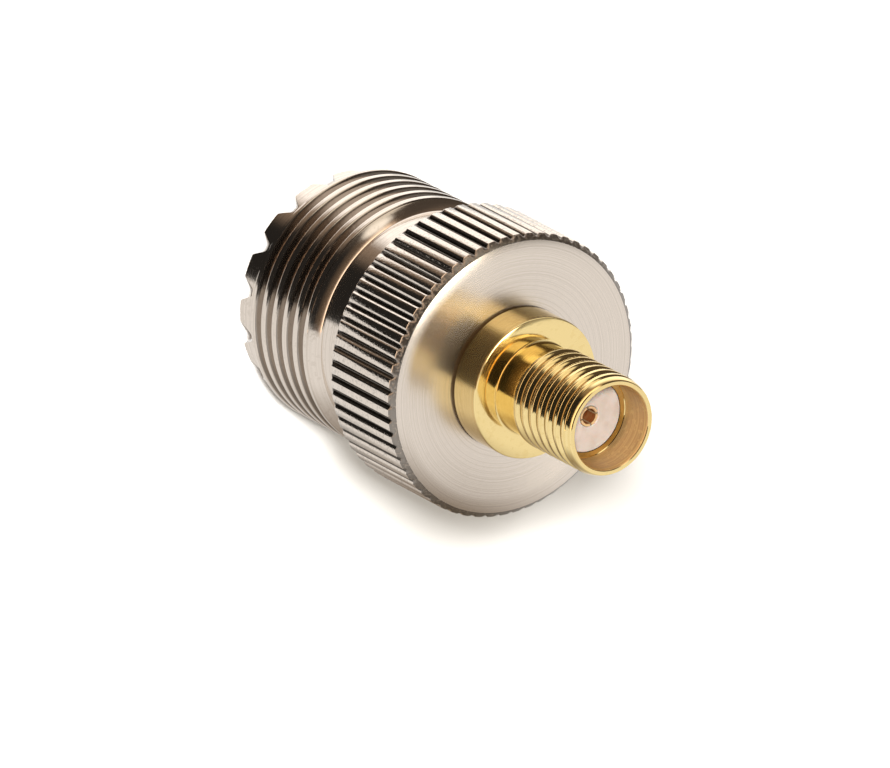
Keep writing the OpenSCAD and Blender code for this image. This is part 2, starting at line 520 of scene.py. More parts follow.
def even_angles(columns: int) -> Array:
    """Gives angles spaced evenly over a turn."""
    return np.arange(columns) * (math.tau / columns)


def offset_from(angles: Array, count: int, first: float = 0.0) -> Array:
    """Gives the signed angle to the nearest of a ring of evenly spaced marks.

    Args:
        angles: Angles in radians.
        count: Number of marks in a turn.
        first: Angle of the first mark.

    Returns:
        Angles from minus to plus half a step.
    """
    step = math.tau / count
    return (angles - first + step / 2.0) % step - step / 2.0


class Skin:
    """Patches of one closed surface, welded where their edges meet."""

    def __init__(self) -> None:
        """Starts with no patch."""
        self.points: list[Array] = []
        self.quads: list[Array] = []
        self.zones: list[Array] = []
        self.total = 0

    def patch(self, grid: Array, zones: Array | int = 0, wrap: bool = True) -> None:
        """Adds a grid of points as quads between neighbouring rows and columns.

        Args:
            grid: Points, rows by columns by three, in millimetres.
            zones: Material number of each quad, of each strip between two rows, or one for all.
            wrap: Whether the last column joins the first.
        """
        rows, columns = grid.shape[:2]
        index = self.total + np.arange(rows * columns).reshape(rows, columns)
        if wrap:
            index = np.hstack([index, index[:, :1]])
        corners = [index[:-1, :-1], index[:-1, 1:], index[1:, 1:], index[1:, :-1]]
        numbers = np.asarray(zones)
        strips = np.broadcast_to(numbers if numbers.ndim == 2 else numbers.reshape(-1, 1), corners[0].shape)
        self.points.append(grid.reshape(-1, 3) * MM)
        self.quads.append(np.stack(corners, axis=-1).reshape(-1, 4))
        self.zones.append(strips.reshape(-1))
        self.total += rows * columns

    def build(self, name: str, node: str, slot: Slot, *finishes: PlatedFinish | PtfeFinish) -> None:
        """Welds the patches into one smooth piece, which stands for its solid and rides on the adapter.

        Args:
            name: Name of the piece.
            node: Name of the solid that it stands for.
            slot: Material slot of the record; not used.
            finishes: Finishes in the order of the zone numbers.
        """
        mesh = bpy.data.meshes.new(name)
        mesh.from_pydata(np.vstack(self.points).tolist(), [], np.vstack(self.quads).tolist())
        mesh.polygons.foreach_set("material_index", np.concatenate(self.zones).astype(np.int32))
        work = bmesh.new()
        work.from_mesh(mesh)
        bmesh.ops.remove_doubles(work, verts=work.verts, dist=WELD_DISTANCE)
        bmesh.ops.recalc_face_normals(work, faces=work.faces)
        work.to_mesh(mesh)
        work.free()
        mesh.polygons.foreach_set("use_smooth", np.ones(len(mesh.polygons), dtype=bool))
        mesh.set_sharp_from_angle(angle=SHARP_ANGLE)
        for finish in finishes:
            mesh.materials.append(finish.material())
        piece = new_object(name, mesh)
        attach(piece, BODY)
        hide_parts(node)
        LOG.info("%s: %d faces, stands for %s", name, len(mesh.polygons), node)


@dataclass
class Thread:
    """A right-handed thread of rounded vees between two rings.

    Attributes:
        pitch: Rise in one turn.
        crest_r: Radius of the crests.
        root_r: Radius of the roots.
        front_crest: Height of one crest on the front, which is the -Y side.
        bottom: Radius and height of the lower ring.
        top: Radius and height of the upper ring.
        bottom_slope: Growth of the lead at the lower ring, radius over height.
        top_slope: Growth of the lead at the upper ring, radius over height.
        rows: Rows of points in one pitch.
        gather: How far the rows crowd at the edges of the crests and in the roots.
        fullness: How flat the crests and roots are; at 0.5 they are a plain wave.
        lift: How much wider the crests are than the roots.
        shade_middle: Middle of the painted shade above a crest, as a share of the pitch.
        shade_half: Half of the share of the pitch that the painted shade covers.
    """

    pitch: float
    crest_r: float
    root_r: float
    front_crest: float
    bottom: tuple[float, float]
    top: tuple[float, float]
    bottom_slope: float
    top_slope: float
    rows: int = 18
    gather: float = 0.6
    fullness: float = 0.72
    lift: float = 0.06
    # Place and width of the painted shade on the flank above each crest and in the root.
    shade_middle: float = 0.42
    shade_half: float = 0.205

    # Place of the front in a turn, crowded places in a pitch, and spare pitches under and over the rings.
    FRONT_TURN = 0.75
    CROWDS = 3
    SPARE_BELOW = 0.5
    SPARE_ABOVE = 1.0

    def shares(self) -> Array:
        """Gives the place of each row on the thread, in pitches from the front crest.

        A sine of three waves to a pitch is added to an even spacing. It crowds the rows at a sixth, a half
        and five sixths of the pitch.

        Returns:
            One place for each row.
        """
        first = math.floor((self.bottom[1] - self.front_crest) / self.pitch - self.SPARE_BELOW)
        last = math.ceil((self.top[1] - self.front_crest) / self.pitch + self.SPARE_ABOVE)
        even = np.arange(first * self.rows, last * self.rows + 1) / self.rows
        wave = math.tau * self.CROWDS
        return even + self.gather * np.sin(wave * even) / wave

    def zones(self, flank: int, root: int) -> Array:
        """Gives the material number of each strip between two rows.

        Args:
            flank: Number for crests and flanks without painted shade.
            root: Number for the painted shade above the crests and in the roots.

        Returns:
            One number for each strip.
        """
        share = self.shares()
        middle = (share[:-1] + share[1:]) / 2.0 % 1.0
        # Strips near the middle of the painted shade get the darker finish.
        return np.where(np.abs(middle - self.shade_middle) < self.shade_half, root, flank)

    def surface(self, angles: Array) -> Array:
        """Works out the thread as one sheared grid.

        Rows follow the helix: the height of a row is that of the front crest, plus the pitch times the row's
        share and the angle over a full turn. The radius is a clipped and smoothed cosine of the share.
        Heights past a ring are held at the ring, where the welded rows close.

        Args:
            angles: Angle of each column, in radians.

        Returns:
            Points, rows by columns by three, with a last column a full turn after the first.
        """
        share = self.shares()
        turn = np.append(angles, angles[0] + math.tau)
        turns = turn[None, :] / math.tau - self.FRONT_TURN
        height = self.front_crest + self.pitch * (share[:, None] + turns)
        wave = np.clip(0.5 + self.lift + self.fullness * np.cos(math.tau * share), 0.0, 1.0)
        wave = wave * wave * (3.0 - 2.0 * wave)
        radius = np.repeat((self.root_r + (self.crest_r - self.root_r) * wave)[:, None], len(turn), axis=1)
        radius = np.minimum(radius, self.bottom[0] + (height - self.bottom[1]) * self.bottom_slope)
        radius = np.minimum(radius, self.top[0] + (self.top[1] - height) * self.top_slope)
        radius = np.maximum(radius, self.root_r)
        radius = np.where(height <= self.bottom[1], self.bottom[0], radius)
        radius = np.where(height >= self.top[1], self.top[0], radius)
        return turned(radius, turn, np.clip(height, self.bottom[1], self.top[1]))


@dataclass
class UhfShell:
    """Nickel-plated shell: castellated rim, threaded barrel, relief neck and knurled collar.

    Fields that aren't listed give the radius, length, width, depth or number of the feature they name.

    Attributes:
        length: Height of the collar's face above the tooth tips.
        thread_lead: Growth of the thread's lead, radius over height.
        knurl_turn: Place of the first groove, in groove pitches.
        groove_floor: Share of a groove's width that is flat at the bottom.
        groove_edge: Half of the width of a groove's rounded edge, as a share of half a groove.
        groove_shade_share: Share of a groove's width that gets painted shade.
        face_rows: Radii of the rows that keep the face flat.
        support: Space between the rows that keep a strip straight.
        soft: Width of the softened edges of the thread's end and the bore.
        lip: Height of the softened edges of the thread's end and the face.
        crisp: Half of the width of the bevels' own edges.
        knurl_margin: Length under the collar at which the knurl may begin.
    """

    length: float
    collar_r: float
    thread_r: float
    thread_pitch: float = 1.1
    thread_lead: float = 2.0
    thread_top: float = 7.9
    front_crest: float = 2.11
    rim_r: float = 7.4
    rim_len: float = 1.7
    rim_bevel: float = 0.2
    neck_r: float = 7.35
    collar_len: float = 6.45
    front_bevel: float = 0.35
    back_bevel: float = 0.2
    bore_r: float = 6.1
    spigot_r: float = 3.5
    spigot_len: float = 3.4
    ridges: int = 60
    knurl_turn: float = 0.75
    groove_depth: float = 0.2
    groove_w: float = 0.5
    groove_floor: float = 0.1
    groove_edge: float = 0.06
    groove_shade_share: float = 0.5
    notches: int = 16
    notch_depth: float = 1.2
    notch_tip_w: float = 1.55
    notch_root_w: float = 0.45
    face_rows: tuple[float, ...] = (7.6, 6.4, 5.2)
    fillet: float = 0.2
    support: float = 0.08
    soft: float = 0.05
    lip: float = 0.03
    crisp: float = 0.02
    knurl_margin: float = 0.5

    # Place of a fillet's middle row, as a share of the fillet.
    CURVE_SHARE = 0.3

    def groove_half(self) -> float:
        """Gives the angle from a groove's middle to its edge."""
        return self.groove_w / 2.0 / self.collar_r

    def from_groove(self, turn: Array) -> Array:
        """Gives the angle to the middle of the nearest groove."""
        return np.abs(offset_from(turn, self.ridges, math.tau / self.ridges * self.knurl_turn))

    def angles(self) -> Array:
        """Gives the columns: nine to a knurl pitch, closest together at the edges of a groove.

        Returns:
            Angles in radians, from small to large.
        """
        step = math.tau / self.ridges
        groove = self.groove_half()
        floor = self.groove_floor * groove
        edge = self.groove_edge * groove
        side = np.array([floor, (floor + groove) / 2.0, groove - edge, groove + edge])
        offsets = np.concatenate([-side, side, [step / 2.0]])
        centres = step * (np.arange(self.ridges) + self.knurl_turn)
        return np.sort((centres[:, None] + offsets[None, :]).reshape(-1) % math.tau)

    def shape(self, radius: Array, height: Array, turn: Array) -> tuple[Array, Array]:
        """Cuts the knurl and the castellations into the turned form.

        A knurl groove holds the radius under a vee about the groove's middle, and a notch holds the height
        over a trapezium about the notch's middle.

        Args:
            radius: Radius of each point.
            height: Height of each point.
            turn: Angle of each point.

        Returns:
            The cut radius and height.
        """
        share = self.from_groove(turn) / self.groove_half()
        rise = np.clip((share - self.groove_floor) / (1.0 - self.groove_floor), 0.0, 1.0)
        vee = np.where(rise < 1.0, self.collar_r - self.groove_depth * (1.0 - rise), np.inf)
        collar = height > self.length - self.collar_len - self.knurl_margin
        radius = np.where(collar, np.minimum(radius, vee), radius)
        across = np.abs(offset_from(turn, self.notches)) * (self.rim_r + self.bore_r) / 2.0
        slope = (self.notch_tip_w - self.notch_root_w) / 2.0
        floor = self.notch_depth * np.clip((self.notch_tip_w / 2.0 - across) / slope, 0.0, 1.0)
        return radius, np.maximum(height, floor)

    def profile(self) -> tuple[Array, Array]:
        """Gives the rest of the shell's section, from the top of the thread round to its bottom.

        Returns:
            Radius and height of each row, and the zone of each strip between two rows.
        """
        back = self.length - self.collar_len
        seat = self.length - self.spigot_len
        shoulder = self.length - self.front_bevel
        ridge_bottom = back + self.back_bevel
        face_r = self.collar_r - self.front_bevel
        neck_bottom = self.thread_top + self.thread_r - self.neck_r
        curve = self.CURVE_SHARE * self.fillet
        drops = (self.crisp, self.groove_depth / 2.0, self.groove_depth, self.front_bevel - self.lip)
        barrel = [
            (self.thread_r, self.thread_top),
            (self.thread_r - self.soft, self.thread_top + self.lip),
            (self.neck_r + self.soft, neck_bottom - self.soft),
            *upright(self.neck_r, neck_bottom + self.support / 2.0, neck_bottom + self.support * 1.5),
            *upright(self.neck_r, back - self.fillet - self.support, back - self.fillet),
            (self.neck_r + curve, back - curve),
            *level(back, self.neck_r + self.fillet, self.collar_r - self.back_bevel),
        ]
        ridge = [
            (self.collar_r - self.crisp, ridge_bottom - self.crisp),
            *upright(self.collar_r, ridge_bottom + self.crisp, back + self.collar_len / 2.0),
            (self.collar_r, shoulder - self.crisp),
        ]
        bevel = [(self.collar_r - drop, shoulder + drop) for drop in drops]
        face = level(self.length, face_r - self.lip, *self.face_rows, self.spigot_r)
        inside = [
            (self.spigot_r, seat),
            *upright(self.bore_r, seat, self.rim_len, self.notch_depth, self.soft),
            *level(0.0, self.bore_r + self.soft, self.rim_r - self.rim_bevel),
            *upright(self.rim_r, self.rim_bevel, self.notch_depth, self.rim_len),
        ]
        zones = (
            [ShellZone.BARREL] * (len(barrel) - 1)
            + [ShellZone.RIDGE] * (len(ridge) + 1)
            + [ShellZone.BEVEL] * len(bevel)
            + [ShellZone.FACE] * (len(face) - 1)
            + [ShellZone.BARREL] * len(inside)
        )
        return np.array(barrel + ridge + bevel + face + inside), np.array(zones)

    def shade_grooves(self, zones: Array, angles: Array) -> Array:
        """Paints shade into the middles of the knurl's grooves.

        Args:
            zones: Zone of each strip between two rows.
            angles: Angle of each column.

        Returns:
            Zone of each quad.
        """
        middle = angles + (np.roll(angles, -1) - angles) % math.tau / 2.0
        deep = self.from_groove(middle) < self.groove_shade_share * self.groove_half()
        knurled = zones == ShellZone.RIDGE
        # Quads near a groove's middle on the knurl get the painted shade.
        return np.where(knurled[:, None] & deep[None, :], ShellZone.SHADED_GROOVE, zones[:, None])

    def build(self) -> None:
        """Builds and dresses the shell."""
        thread = Thread(
            self.thread_pitch, self.thread_r, self.rim_r, self.front_crest,
            bottom=(self.rim_r, self.rim_len), top=(self.thread_r, self.thread_top),
            bottom_slope=self.thread_lead, top_slope=0.0,
        )
        angles = self.angles()
        profile, zones = self.profile()
        skin = Skin()
        # The thread's strips above each crest and in its roots get painted shade.
        skin.patch(thread.surface(angles), thread.zones(ShellZone.BARREL, ShellZone.SHADED_ROOT), wrap=False)
        skin.patch(revolve(profile, angles, self.shape), self.shade_grooves(zones, angles))
        skin.build(
            "shell", "uhf_shell", Slot.NICKEL,
            NICKEL_BARREL, NICKEL_RIDGE, NICKEL_BEVEL, NICKEL_FACE, NICKEL_ROOT_SHADE, NICKEL_GROOVE_SHADE,
        )


@dataclass
class SmaBody:
    """Gold-plated SMA body: spigot, flange, neck, threaded barrel and counterbored mouth.

    Fields that aren't listed give the radius, length, depth or place of the feature they name.

    Attributes:
        seat: Height of the spigot's end.
        face: Height of the collar's face, on which the flange lies.
        top: Height of the front edge.
        thread_lead: Growth of the thread at its lower end, radius over height.
        thread_run_out: Growth of the thread at its upper end, radius over height.
        lead_len: Length of the plain end in front of the thread.
        rim_r: Outside radius of the front edge.
        mouth_r: Inside radius of the front edge.
        support: Space between the rows that keep a strip straight.
        end_drop: Step from the crests down to the plain end.
        end_taper: Fall of the plain end's first stretch.
        nose: Height of the front edge's rounding.
        soft: Width of the softened edges of the nose and the mouth's floor.
        lip: Width of the softened edges of the flange and the mouth.
        crisp: Fall of the mouth's edges.
    """

    seat: float
    face: float
    top: float
    flange_r: float
    thread_r: float
    bore_r: float
    thread_depth: float = 0.25
    thread_pitch: float = 0.83
    thread_lead: float = 1.6
    thread_run_out: float = 0.35
    thread_fullness: float = 0.6
    front_crest: float = 22.7
    # Place and width of the painted shade in the thread's roots, as shares of the pitch.
    shade_middle: float = 0.5
    shade_half: float = 0.17
    spigot_r: float = 3.48
    flange_len: float = 2.3
    back_bevel: float = 0.2
    front_bevel: float = 0.1
    neck_r: float = 2.9
    neck_len: float = 1.9
    lead_len: float = 0.45
    rim_r: float = 2.97
    mouth_r: float = 2.69
    mouth_len: float = 0.2
    recess: float = 2.3
    insulator_r: float = 2.27
    fillet: float = 0.12
    support: float = 0.06
    end_drop: float = 0.05
    end_taper: float = 0.02
    end_len: float = 0.12
    nose: float = 0.1
    soft: float = 0.04
    lip: float = 0.03
    crisp: float = 0.01
    columns: int = 288

    # Place of a fillet's middle row, as a share of the fillet.
    CURVE_SHARE = 0.25

    def thread(self) -> Thread:
        """Gives the thread between the neck and the plain end."""
        return Thread(
            self.thread_pitch, self.thread_r, self.thread_r - self.thread_depth, self.front_crest,
            bottom=(self.neck_r, self.face + self.flange_len + self.neck_len),
            top=(self.thread_r - self.end_drop, self.top - self.lead_len),
            bottom_slope=self.thread_lead, top_slope=self.thread_run_out,
            fullness=self.thread_fullness, shade_middle=self.shade_middle, shade_half=self.shade_half,
        )

    def profile(self) -> tuple[Array, Array]:
        """Gives the rest of the body's section, from the top of the thread round to its bottom.

        Returns:
            Radius and height of each row, and the zone of each strip between two rows.
        """
        flange_top = self.face + self.flange_len
        back = self.face + self.back_bevel
        shoulder = flange_top - self.front_bevel
        thread_bottom = flange_top + self.neck_len
        thread_top = self.top - self.lead_len
        end_r = self.thread_r - self.end_drop
        taper_end = self.top - self.mouth_len
        floor = self.top - self.recess
        curve = self.CURVE_SHARE * self.fillet
        foot = self.fillet + self.support
        front = [
            (end_r, thread_top),
            (end_r - self.end_taper, thread_top + self.end_len),
            (self.rim_r + self.soft, self.top - self.nose),
            (self.rim_r, self.top - self.lip),
            *level(self.top, self.rim_r - self.soft, self.mouth_r + self.lip),
        ]
        mouth = [
            (self.mouth_r - self.crisp, self.top - self.lip),
            (self.bore_r + self.crisp, taper_end),
            *upright(self.bore_r, taper_end - self.nose, floor + self.soft),
        ]
        inside = [
            *level(floor, self.bore_r - self.soft, self.insulator_r),
            *level(self.seat, self.insulator_r, self.spigot_r),
            *level(self.face, self.spigot_r, self.flange_r - self.back_bevel),
        ]
        flange = [
            *upright(self.flange_r, back, back + self.support, shoulder - self.support, shoulder),
            (self.flange_r - self.lip, flange_top - self.lip),
            *level(flange_top, self.flange_r - self.front_bevel, self.neck_r + foot),
            (self.neck_r + self.fillet, flange_top),
            (self.neck_r + curve, flange_top + curve),
            *upright(self.neck_r, flange_top + self.fillet, flange_top + foot),
            *upright(self.neck_r, thread_bottom - self.support, thread_bottom),
        ]
        zones = (
            [BodyZone.TURNED] * len(front)
            + [BodyZone.MOUTH] * (len(mouth) - 1)
            + [BodyZone.TURNED] * len(inside)
            # The flange's back bevel gets the painted shadow.
            + [BodyZone.SHADED_SEAM]
            + [BodyZone.TURNED] * (len(flange) - 1)
        )
        return np.array(front + mouth + inside + flange), np.array(zones)

    def build(self) -> None:
        """Builds and dresses the body."""
        thread = self.thread()
        angles = even_angles(self.columns)
        profile, zones = self.profile()
        skin = Skin()
        # The thread's root strips get painted shade.
        skin.patch(thread.surface(angles), thread.zones(BodyZone.TURNED, BodyZone.SHADED_ROOT), wrap=False)
        skin.patch(revolve(profile, angles), zones)
        finishes = (GOLD_TURNED, GOLD_MOUTH, GOLD_SEAM_SHADE, GOLD_ROOT_SHADE)
        skin.build("sma_body_gold", "sma_body", Slot.GOLD, *finishes)


@dataclass
class Bush:
    """PTFE bush with a stepped hole for a contact.

    Attributes:
        node: Solid that it stands for.
        hole_r: Radius of the hole at the upper end.
        pocket_r: Radius of the pocket at the lower end.
        pocket_top: Height of the pocket's end.
    """

    name: str
    node: str
    radius: float
    bottom: float
    top: float
    hole_r: float
    pocket_r: float
    pocket_top: float
    bevel: float = 0.05
    columns: int = 160

    def build(self) -> None:
        """Builds and dresses the bush."""
        profile = np.array([
            *level(self.bottom, self.pocket_r + self.bevel, self.radius - self.bevel),
            *upright(self.radius, self.bottom + self.bevel, self.top - self.bevel),
            *level(self.top, self.radius - self.bevel, self.hole_r + self.bevel),
            *upright(self.hole_r, self.top - self.bevel, self.pocket_top),
            *upright(self.pocket_r, self.pocket_top, self.bottom + self.bevel),
            (self.pocket_r + self.bevel, self.bottom),
        ])
        skin = Skin()
        skin.patch(revolve(profile, even_angles(self.columns)))
        skin.build(self.name, self.node, Slot.PTFE, WHITE_PTFE)


@dataclass
class SocketContact:
    """Slotted centre socket, with its mouth at one end and a solid or drilled tail at the other.

    Attributes:
        node: Solid that it stands for.
        bore_r: Radius of the socket.
        mouth: Height of the mouth.
        tail: Height of the other end.
        bore_depth: Depth of the socket.
        tail_hole_r: Radius of the hole in the tail, or 0 for a solid one.
        columns: Even columns in a turn, before those at the slots.
    """

    name: str
    node: str
    radius: float
    bore_r: float
    mouth: float
    tail: float
    bore_depth: float
    slot_w: float
    slot_len: float
    bevel: float
    tail_hole_r: float = 0.0
    tail_hole_depth: float = 0.0
    slots: int = 4
    columns: int = 128

    # Strips of the bore, angles between columns at a slot's edge, and share of the end that is rounded.
    BORE_STRIPS = 3
    EDGE_STEP = 0.004
    CLEAR_STEP = 0.01
    ANGLE_ERROR = 1e-6
    ROUND_SHARE = 0.25

    def inward(self) -> float:
        """Gives the sign of the way from the mouth to the tail."""
        return math.copysign(1.0, self.tail - self.mouth)

    def slot_half(self) -> float:
        """Gives the angle from a slot's middle to its edge."""
        return self.slot_w / 2.0 / self.radius

    def from_slot(self, turn: Array) -> Array:
        """Gives the angle to the middle of the nearest slot."""
        return np.abs(offset_from(turn, self.slots, math.pi / self.slots))

    def angles(self) -> Array:
        """Gives even columns, with a close pair at each edge of a slot.

        Returns:
            Angles in radians, from small to large.
        """
        half = self.slot_half()
        edges = np.array([-half - self.EDGE_STEP, -half, half, half + self.EDGE_STEP])
        centres = math.tau / self.slots * (np.arange(self.slots) + 0.5)
        even = even_angles(self.columns)
        clear = even[self.from_slot(even) > half + self.CLEAR_STEP]
        return np.sort(np.append(clear, (centres[:, None] + edges[None, :]).reshape(-1)))

    def shape(self, radius: Array, height: Array, turn: Array) -> tuple[Array, Array]:
        """Saws the slots: inside a slot, no point lies nearer to the mouth than the slot's end.

        Args:
            radius: Radius of each point.
            height: Height of each point.
            turn: Angle of each point.

        Returns:
            The same radius, and the sawn height.
        """
        depth = (height - self.mouth) * self.inward()
        sawn = self.from_slot(turn) <= self.slot_half() + self.ANGLE_ERROR
        depth = np.where(sawn, np.maximum(depth, self.slot_len), depth)
        return radius, self.mouth + depth * self.inward()

    def build(self) -> None:
        """Builds and dresses the contact."""
        inward = self.inward()
        bore_end = self.mouth + self.bore_depth * inward
        slot_end = self.mouth + self.slot_len * inward
        hole_end = self.tail - self.tail_hole_depth * inward
        edge = self.ROUND_SHARE * (self.radius - self.bore_r - self.bevel)
        profile = np.array([
            *level(bore_end, 0.0, self.bore_r),
            *upright(self.bore_r, slot_end, self.mouth + self.bevel * inward),
            *level(self.mouth, self.bore_r + self.bevel, self.radius - edge),
            *upright(self.radius, self.mouth + edge * inward, slot_end, self.tail),
            *upright(self.tail_hole_r, self.tail, hole_end),
            (0.0, hole_end),
        ])
        zones = np.full(len(profile) - 1, ContactZone.OUTSIDE)
        # The bore's strips get the painted bounce light.
        zones[:self.BORE_STRIPS] = ContactZone.BOUNCE_LIT_BORE
        skin = Skin()
        skin.patch(revolve(profile, self.angles(), self.shape), zones)
        skin.build(self.name, self.node, Slot.CONTACT, GOLD_CONTACT, GOLD_BORE_BOUNCE)


@dataclass(frozen=True)
class Lamp:
    """A round soft light far away, which the plating mirrors.

    Attributes:
        toward: Direction of the lamp.
        edge: Cosine of the angle from its middle at which it ends.
        core: Cosine of the angle from its middle at which it is full.
        colour: Its light.
    """

    toward: Direction
    edge: float
    core: float
    colour: Colour

    def paint(self, graph: NodeGraph, gaze: Socket, behind: Socket) -> Socket:
        """Paints the lamp over what is behind it.

        Args:
            graph: Nodes of the world.
            gaze: Direction that is looked along.
            behind: Colour of what is behind the lamp.

        Returns:
            Socket of the colour.
        """
        near = graph.dot(gaze, tuple(Vector(self.toward).normalized()))
        return graph.blend(graph.ramp(near, self.edge, self.core), behind, opaque(self.colour))


# Lamps, named after what they light: the flange's edge, side and back, and the turned face.
EDGE_LAMP = Lamp((-0.71, -0.45, 0.54), 0.965, 0.995, (1.3, 1.2, 1.05))
SIDE_LAMP = Lamp((-0.628, -0.14, 0.763), 0.95, 0.985, (1.0, 0.90, 0.75))
FACE_LAMP = Lamp((-0.16, 0.19, 0.966), 0.98, 0.992, (8.0, 7.4, 6.2))
BACK_LAMP = Lamp((-0.42, 0.50, 0.76), 0.95, 0.985, (0.35, 0.33, 0.30))


@dataclass(frozen=True)
class Fade:
    """A soft edge of something in the surroundings.

    Attributes:
        start: Measure at which it begins.
        full: Measure at which it is full.
        least: Share of it that is left before the start.
    """

    start: float
    full: float
    least: float = 0.0

    def share(self, graph: NodeGraph, measure: Socket) -> Socket:
        """Gives the share that is seen at a measure."""
        return graph.ramp(measure, self.start, self.full, self.least)


@dataclass(frozen=True)
class Surroundings:
    """What the plating mirrors above the table: a dark room with a softbox, a narrow card and lamps.

    A fade is measured by the height of a direction, or by its level cosine to the softbox or the card.

    Attributes:
        room: Light of the dark room.
        dusk: Light of the walls beside the softbox.
        softbox: Light of the softbox.
        glimmer: Faint light round the card.
        card: Light of the narrow card in front.
        softbox_side: Level direction of the softbox.
        card_side: Level direction of the card.
        dusk_fades: Side and upper edge of the walls' light.
        softbox_fades: Side and upper edge of the softbox.
        glimmer_fades: Side, lower and upper edge of the glimmer.
        card_fades: Side, lower and upper edge of the card.
        lamps: Round lamps.
    """

    room: Colour = (0.022, 0.020, 0.018)
    dusk: Colour = (0.30, 0.22, 0.16)
    softbox: Colour = (1.50, 1.44, 1.38)
    glimmer: Colour = (0.13, 0.09, 0.06)
    card: Colour = (2.0, 1.5, 1.1)
    softbox_side: Direction = (-0.990, 0.139, 0.0)
    card_side: Direction = (0.0, -1.0, 0.0)
    dusk_fades: tuple[Fade, ...] = (Fade(0.20, 0.60), Fade(0.30, -0.30, 0.2))
    softbox_fades: tuple[Fade, ...] = (Fade(0.60, 0.86), Fade(-0.15, -0.45))
    glimmer_fades: tuple[Fade, ...] = (Fade(0.0, 0.6), Fade(-0.10, 0.20), Fade(0.70, 0.50))
    card_fades: tuple[Fade, ...] = (Fade(0.3, 0.6), Fade(-0.20, -0.05), Fade(0.45, 0.25))
    lamps: tuple[Lamp, ...] = (EDGE_LAMP, SIDE_LAMP, FACE_LAMP, BACK_LAMP)

    def paint(self, graph: NodeGraph, gaze: Socket) -> Socket:
        """Gives the light that comes from each direction.

        Args:
            graph: Nodes of the world.
            gaze: Direction that is looked along.

        Returns:
            Socket of the colour.
        """
        level = graph.vector("NORMALIZE", graph.flat(gaze)).outputs[0]
        beside = graph.dot(level, self.softbox_side)
        ahead = graph.dot(level, self.card_side)
        rise = graph.height(gaze)
        light: Any = opaque(self.room)
        for measure, fades, colour in (
            (beside, self.dusk_fades, self.dusk),
            (beside, self.softbox_fades, self.softbox),
            (ahead, self.glimmer_fades, self.glimmer),
            (ahead, self.card_fades, self.card),
        ):
            seen = fades[0].share(graph, measure)
            for fade in fades[1:]:
                seen = graph.product(seen, fade.share(graph, rise))
            light = graph.blend(seen, light, opaque(colour))
        for lamp in self.lamps:
            light = lamp.paint(graph, gaze, light)
        return light


